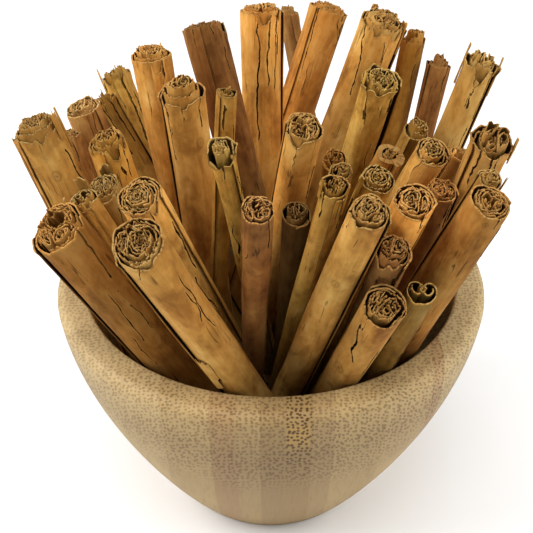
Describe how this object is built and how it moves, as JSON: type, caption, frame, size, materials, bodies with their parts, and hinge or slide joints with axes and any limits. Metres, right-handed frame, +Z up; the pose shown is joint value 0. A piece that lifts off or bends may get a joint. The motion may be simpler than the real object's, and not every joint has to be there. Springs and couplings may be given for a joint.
{
  "type": "stack of cinnamon sticks in a bowl",
  "caption": "Round bamboo bowl filled with cinnamon sticks: rolled bark quills of mixed thickness that stand in a loose fan above its rim.",
  "frame": {"origin": "centre of the bowl's flat foot, on the surface that it stands on", "axes": "+Z up along the bowl's axis, -Y towards the front, where the lowest quills lean out, +X to the right seen from the front"},
  "size_m": [0.1419, 0.1565, 0.1623],
  "materials": {
    "bamboo": "pale laminated bamboo in upright strips, matt satin, with short dark fibre dots that run into fine streaks",
    "bark_tan": "rolled cinnamon bark, light tan, matt, with fine lengthwise fibres and small scars",
    "bark_orange": "rolled cinnamon bark, warm orange tan, matt, with fine lengthwise fibres",
    "bark_brown": "rolled cinnamon bark, red brown, matt, with darker patches",
    "bark_olive": "rolled cinnamon bark, ochre with an olive cast, rough and flaky"
  },
  "bodies": {
    "root": {"bowl": "bamboo", "front_quill_1": "bark_tan", "front_quill_2": "bark_tan", "front_quill_3": "bark_brown", "front_quill_4": "bark_tan", "front_quill_5": "bark_brown", "front_quill_6": "bark_tan", "front_quill_7": "bark_olive", "left_quill_1": "bark_orange", "left_quill_2": "bark_brown", "left_quill_3": "bark_brown", "left_quill_4": "bark_orange", "left_quill_5": "bark_tan", "left_quill_6": "bark_olive", "left_quill_7": "bark_tan", "back_quill_1": "bark_olive", "back_quill_2": "bark_olive", "back_quill_3": "bark_tan", "back_quill_4": "bark_tan", "back_quill_5": "bark_brown", "back_quill_6": "bark_olive", "back_quill_7": "bark_orange", "back_quill_8": "bark_brown", "back_quill_9": "bark_orange", "back_quill_10": "bark_tan", "back_quill_11": "bark_olive", "back_quill_12": "bark_olive", "back_quill_13": "bark_brown", "back_quill_14": "bark_tan", "middle_quill_1": "bark_olive", "middle_quill_2": "bark_tan", "middle_quill_3": "bark_olive", "middle_quill_4": "bark_olive", "middle_quill_5": "bark_tan", "middle_quill_6": "bark_olive", "middle_quill_7": "bark_olive", "middle_quill_8": "bark_tan", "middle_quill_9": "bark_olive", "middle_quill_10": "bark_tan", "right_quill_1": "bark_orange", "right_quill_2": "bark_tan", "right_quill_3": "bark_tan", "right_quill_4": "bark_orange", "right_quill_5": "bark_brown", "right_quill_6": "bark_orange"}
  },
  "joints": []
}
